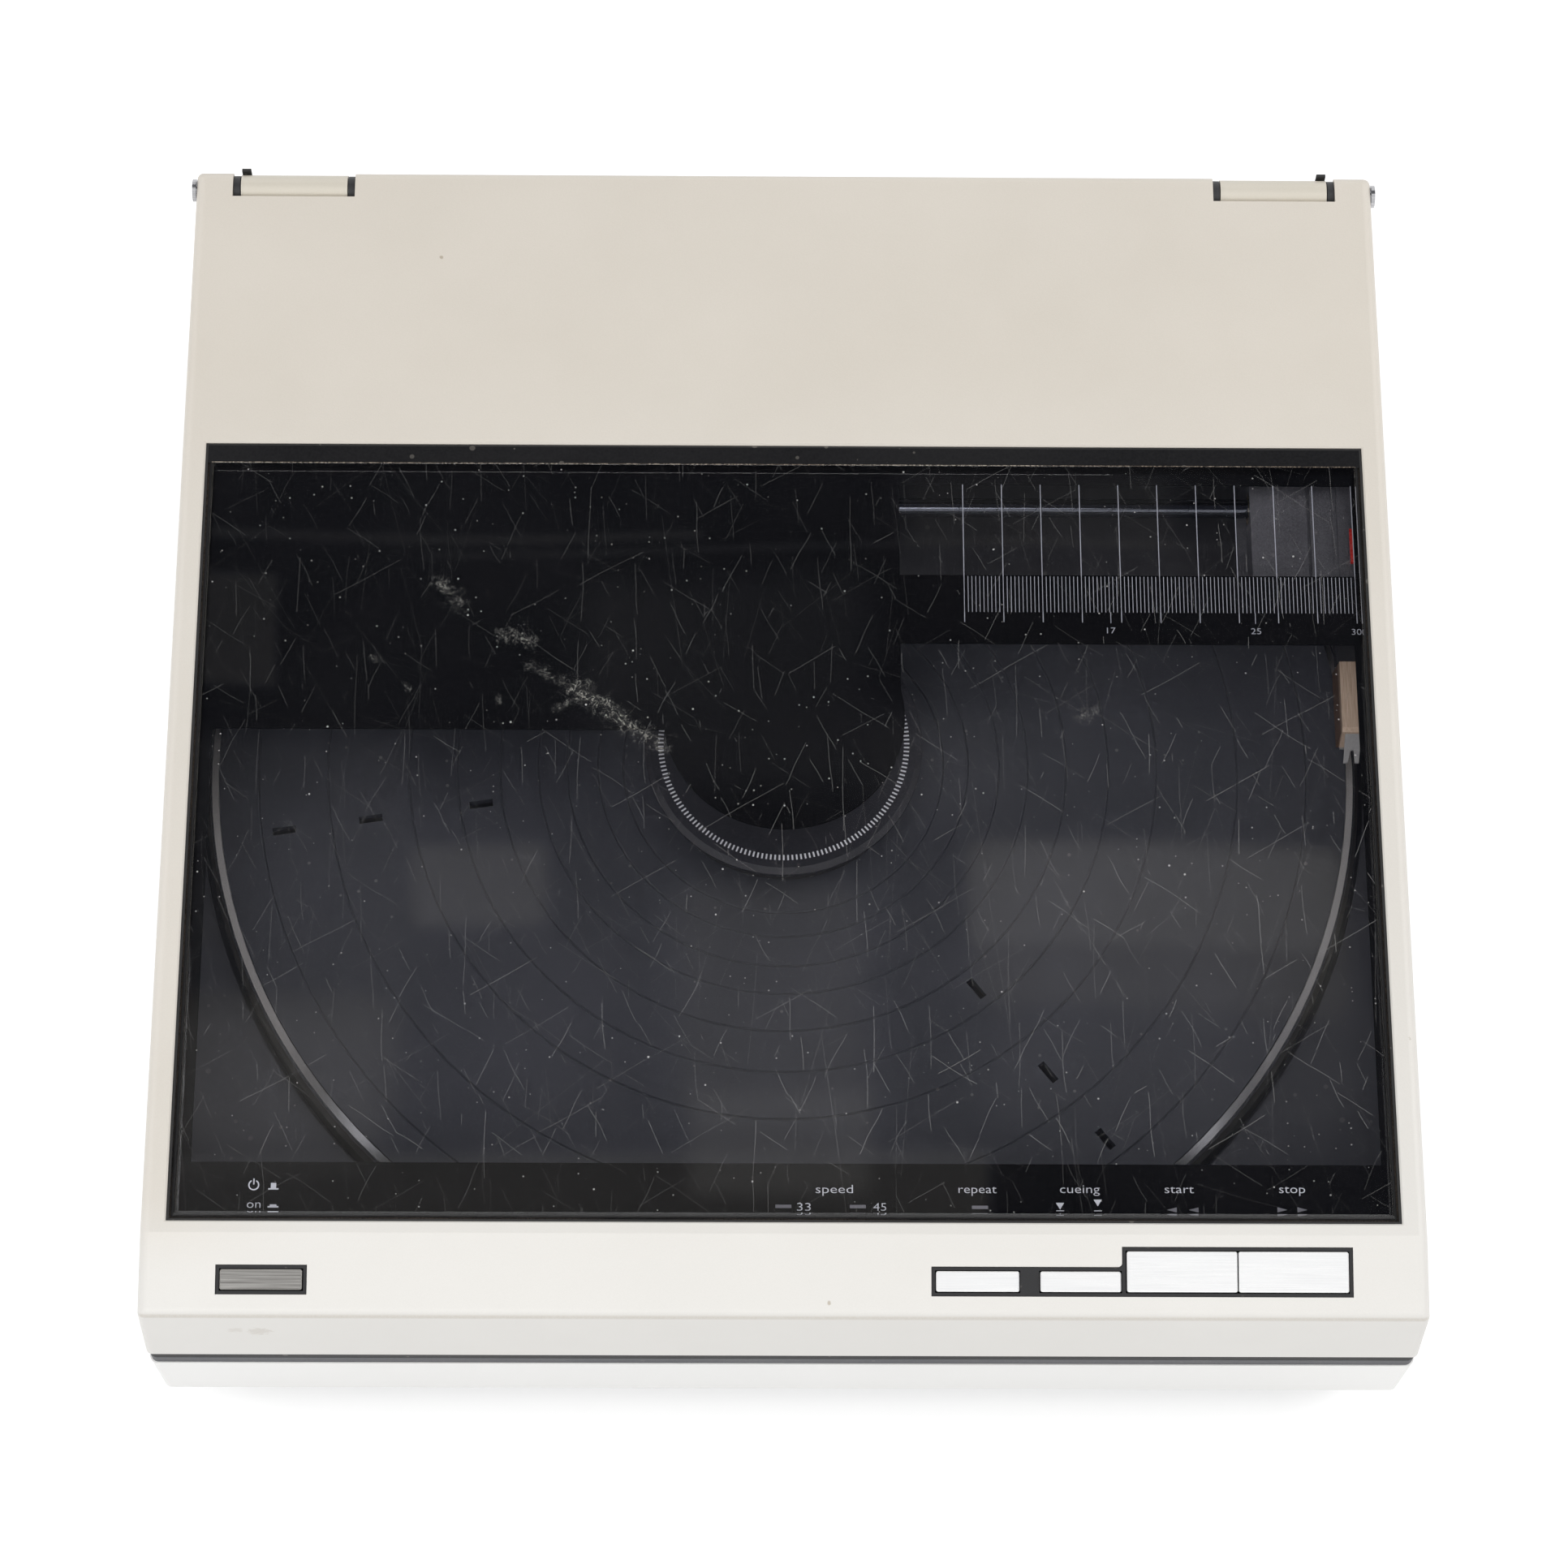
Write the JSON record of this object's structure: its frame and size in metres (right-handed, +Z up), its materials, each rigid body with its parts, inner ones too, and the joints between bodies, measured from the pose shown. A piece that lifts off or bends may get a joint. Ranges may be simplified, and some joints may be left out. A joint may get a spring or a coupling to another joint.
{
  "type": "record player",
  "caption": "Compact square record player with a hinged lid that carries a straight-tracking arm, a smoked window and a record clamp over a direct drive platter.",
  "frame": {"origin": "on the table, under the centre of the square body, which is also the platter's axis", "axes": "+X to the right as the keys are faced, +Y to the rear, where the hinges are, +Z up"},
  "size_m": [0.315, 0.315, 0.088],
  "materials": {
    "shell": "fine satin paint",
    "deck": "fine matt",
    "pan": "matt",
    "rubber": "matt",
    "platter_metal": "polished bevel, satin side",
    "acrylic": "polished, smoked",
    "print": "matt print",
    "key_metal": "brushed",
    "black_plastic": "matt",
    "grey_plastic": "satin",
    "steel": "ground",
    "hinge_metal": "satin",
    "chassis_metal": "matt",
    "board": "satin",
    "copper": "satin",
    "magnet": "matt",
    "brass": "turned",
    "red": "gloss",
    "cartridge_metal": "brushed champagne",
    "carriage_metal": "fine texture"
  },
  "bodies": {
    "base": {"base_casting": "shell", "bottom_cover": "pan", "feet": "rubber", "deck_panel": "deck", "lid_seal": "rubber", "motor_stator": "copper", "motor_bearing": "brass", "power_transformer": "magnet", "circuit_boards": "board", "deck_switches": "black_plastic", "socket_tray": "black_plastic", "signal_terminals": "brass", "power_inlets": "black_plastic", "hinge_brackets": "chassis_metal", "hinge_covers": "hinge_metal", "hinge_springs": "steel"},
    "speed_switch": {"speed_knob": "grey_plastic"},
    "lid_switch": {"interlock_plunger": "black_plastic"},
    "turntable": {"platter": "platter_metal", "platter_mat": "rubber", "spindle": "steel", "rotor_magnet": "magnet"},
    "adaptor": {"ep_adaptor": "grey_plastic"},
    "lid": {"lid_shell": "shell", "lid_window": "acrylic", "window_gasket": "rubber", "window_mask": "print", "key_bezels": "black_plastic", "key_switches": "board", "indicator_board": "board", "hinge_ears": "chassis_metal", "hinge_pins": "steel", "arm_chassis": "chassis_metal", "clamp_bridge": "chassis_metal", "clamp_spring": "steel", "guide_rods": "steel", "rod_brackets": "chassis_metal", "arm_motor": "steel", "drive_belt": "rubber"},
    "clamp_stem": {"clamp_holder": "steel"},
    "clamp": {"clamp_disc": "black_plastic", "clamp_pad": "rubber"},
    "motor_pulley": {"drive_pulley": "brass"},
    "loose_pulley": {"idler_pulley": "grey_plastic"},
    "carriage": {"carriage_frame": "carriage_metal", "carriage_cover": "carriage_metal", "carriage_bushes": "brass", "position_pointer": "red", "lift_solenoid": "copper"},
    "lifter": {"arm_lifter": "steel"},
    "gimbal": {"gimbal_ring": "steel"},
    "arm": {"tone_arm": "black_plastic", "counterweight": "magnet", "cartridge": "cartridge_metal", "stylus": "grey_plastic"},
    "start": {"start_key": "key_metal"},
    "stop": {"stop_key": "key_metal"},
    "repeat": {"repeat_key": "key_metal"},
    "cueing": {"cueing_key": "key_metal"},
    "power": {"power_key": "key_metal"}
  },
  "joints": [
    {"name": "lid_hinge", "type": "hinge", "parent": "base", "child": "lid", "pos_m": [0, 0.1523, 0.0835], "axis": [-1, 0, 0], "range_deg": [0, 62]},
    {"name": "platter_spin", "type": "hinge", "parent": "base", "child": "turntable", "pos_m": [0, 0, 0.045], "axis": [0, 0, 1], "continuous": true},
    {"name": "adaptor_lift", "type": "slide", "parent": "turntable", "child": "adaptor", "axis": [0, 0, 1], "range_m": [0, 0.0035]},
    {"name": "clamp_press", "type": "slide", "parent": "lid", "child": "clamp_stem", "axis": [0, 0, 1], "range_m": [0, 0.0018], "stiffness_N_per_m": 900, "springref_m": -0.001, "deforming": ["clamp_spring"]},
    {"name": "clamp_spin", "type": "hinge", "parent": "clamp_stem", "child": "clamp", "pos_m": [0, 0, 0.066], "axis": [0, 0, 1], "continuous": true},
    {"name": "carriage_slide", "type": "slide", "parent": "lid", "child": "carriage", "axis": [-1, 0, 0], "range_m": [0, 0.095]},
    {"name": "motor_pulley_turn", "type": "hinge", "parent": "lid", "child": "motor_pulley", "pos_m": [-0.008, 0.09495, 0.077], "axis": [0, 0, -1], "range_deg": [-5, 690]},
    {"name": "loose_pulley_turn", "type": "hinge", "parent": "lid", "child": "loose_pulley", "pos_m": [0.143, 0.09495, 0.077], "axis": [0, 0, -1], "range_deg": [-5, 690]},
    {"name": "arm_yaw", "type": "hinge", "parent": "carriage", "child": "gimbal", "pos_m": [0.146, 0.052, 0.0632], "axis": [0, 0, 1], "range_deg": [-2, 2]},
    {"name": "arm_lift", "type": "hinge", "parent": "gimbal", "child": "arm", "pos_m": [0.146, 0.052, 0.0632], "axis": [1, 0, 0], "range_deg": [0, 3]},
    {"name": "lifter_drop", "type": "slide", "parent": "carriage", "child": "lifter", "axis": [0, 0, -1], "range_m": [0, 0.0006]},
    {"name": "start_press", "type": "slide", "parent": "lid", "child": "start", "axis": [0, 0.2146, -0.9767], "range_m": [0, 0.0015], "stiffness_N_per_m": 600, "springref_m": -0.0004},
    {"name": "stop_press", "type": "slide", "parent": "lid", "child": "stop", "axis": [0, 0.2146, -0.9767], "range_m": [0, 0.0015], "stiffness_N_per_m": 600, "springref_m": -0.0004},
    {"name": "repeat_press", "type": "slide", "parent": "lid", "child": "repeat", "axis": [0, 0.2146, -0.9767], "range_m": [0, 0.0015], "stiffness_N_per_m": 500, "springref_m": -0.0004},
    {"name": "cueing_press", "type": "slide", "parent": "lid", "child": "cueing", "axis": [0, 0.2146, -0.9767], "range_m": [0, 0.0015], "stiffness_N_per_m": 500, "springref_m": -0.0004},
    {"name": "power_press", "type": "slide", "parent": "lid", "child": "power", "axis": [0, 0.2146, -0.9767], "range_m": [0, 0.0025], "stiffness_N_per_m": 500, "springref_m": -0.0004},
    {"name": "speed_slide", "type": "slide", "parent": "base", "child": "speed_switch", "axis": [1, 0, 0], "range_m": [-0.004, 0.004]},
    {"name": "lid_switch_rise", "type": "slide", "parent": "base", "child": "lid_switch", "axis": [0, 0, 1], "range_m": [0, 0.0031]}
  ],
  "couplings": [
    {"joint": "motor_pulley_turn", "follows": "carriage_slide", "rad_per_m": 125},
    {"joint": "loose_pulley_turn", "follows": "carriage_slide", "rad_per_m": 125},
    {"joint": "lifter_drop", "follows": "arm_lift", "m_per_rad": 0.0068},
    {"joint": "lid_switch_rise", "follows": "lid_hinge", "m_per_rad": 0.002772}
  ]
}
